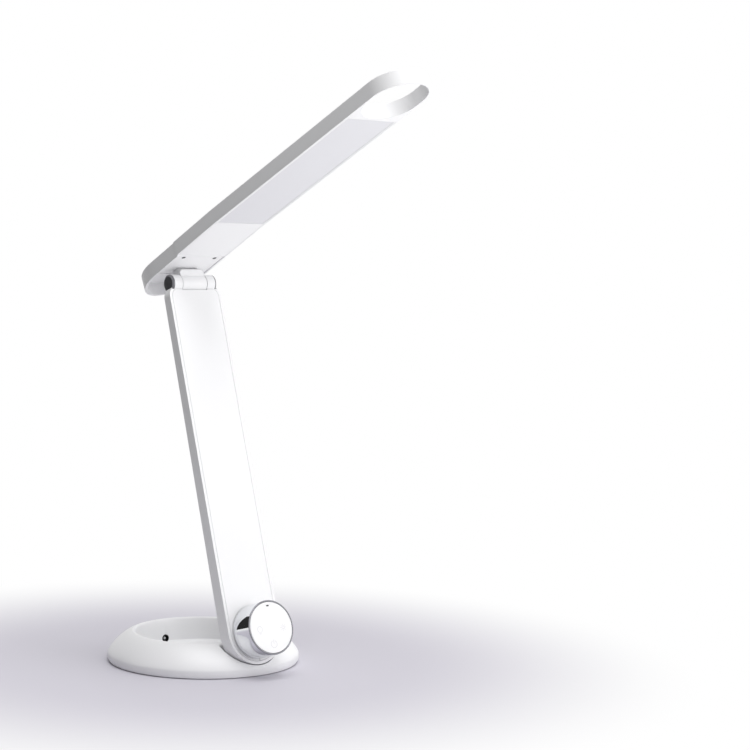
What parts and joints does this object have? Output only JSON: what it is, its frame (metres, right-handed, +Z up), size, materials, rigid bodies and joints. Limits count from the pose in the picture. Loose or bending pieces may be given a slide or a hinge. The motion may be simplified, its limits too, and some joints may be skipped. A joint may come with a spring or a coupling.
{
  "type": "desk lamp",
  "caption": "Folding desk lamp: ring base with a tray hollow, leaning flat arm with a chrome dial, and a long light head with a loop at its tip that drops over the dial.",
  "frame": {"origin": "middle of the base's underside, on the table", "axes": "+Z up, -Y to the lamp's front where the dial faces and the head reaches, +X to the lamp's left-hand side seen from behind the dial"},
  "size_m": [0.16, 0.3404, 0.4802],
  "materials": {
    "white_shell": "satin white moulded plastic",
    "steel": "plain bright steel",
    "iron": "raw cast iron",
    "cast_lug": "die-cast, bead-blasted",
    "black_plastic": "black moulded plastic",
    "pad_rubber": "matt black rubber",
    "circuit_board": "green circuit board",
    "wire": "insulated wire",
    "touch_white": "satin white touch plate",
    "indicator": "smoked indicator window",
    "dial_chrome": "polished chrome plating",
    "cap_dark": "dark polished plating",
    "screw_dark": "dark screws",
    "diffuser": "translucent white diffuser",
    "guide_clear": "clear acrylic",
    "board_white": "white circuit board",
    "emitter": "yellow phosphor emitters"
  },
  "bodies": {
    "base": {"base_shell": "white_shell", "bottom_plate": "steel", "rubber_pad": "pad_rubber", "ring_weights": "iron", "inlet_socket": "black_plastic", "inlet_pin": "steel", "base_screws": "steel", "lug_screws": "steel", "hinge_lug": "cast_lug", "low_pin": "steel", "low_collars": "steel"},
    "arm": {"low_washers": "steel", "arm_shell": "white_shell", "arm_cover": "white_shell", "arm_screws": "steel", "driver_board": "circuit_board", "board_parts": "black_plastic", "board_screws": "steel", "arm_wires": "wire", "dial_post": "white_shell", "post_screws": "steel", "keeper_ring": "steel", "sensor_board": "circuit_board", "touch_board": "circuit_board", "touch_face": "touch_white", "light_dot": "indicator", "upper_pin": "steel", "upper_washers": "steel", "end_caps": "cap_dark"},
    "dial": {"dial_ring": "dial_chrome", "code_ring": "black_plastic"},
    "head": {"knuckle": "white_shell", "knuckle_screws": "steel", "rear_housing": "white_shell", "deck": "white_shell", "deck_screws": "screw_dark", "head_shell": "white_shell", "bezel": "white_shell", "diffuser": "diffuser", "light_guide": "guide_clear", "emitter_board": "board_white", "emitter_set": "emitter", "head_wires": "wire"}
  },
  "joints": [
    {"name": "lower_hinge", "type": "hinge", "parent": "base", "child": "arm", "pos_m": [0, -0.0632, 0.03238], "axis": [1, 0, 0], "range_deg": [-71, 14]},
    {"name": "upper_hinge", "type": "hinge", "parent": "arm", "child": "head", "pos_m": [0, 0.02912, 0.31468], "axis": [1, 0, 0], "range_deg": [-75, 97]},
    {"name": "dial_turn", "type": "hinge", "parent": "arm", "child": "dial", "pos_m": [0, -0.0704, 0.0348], "axis": [0, -0.9478, 0.319], "continuous": true}
  ]
}
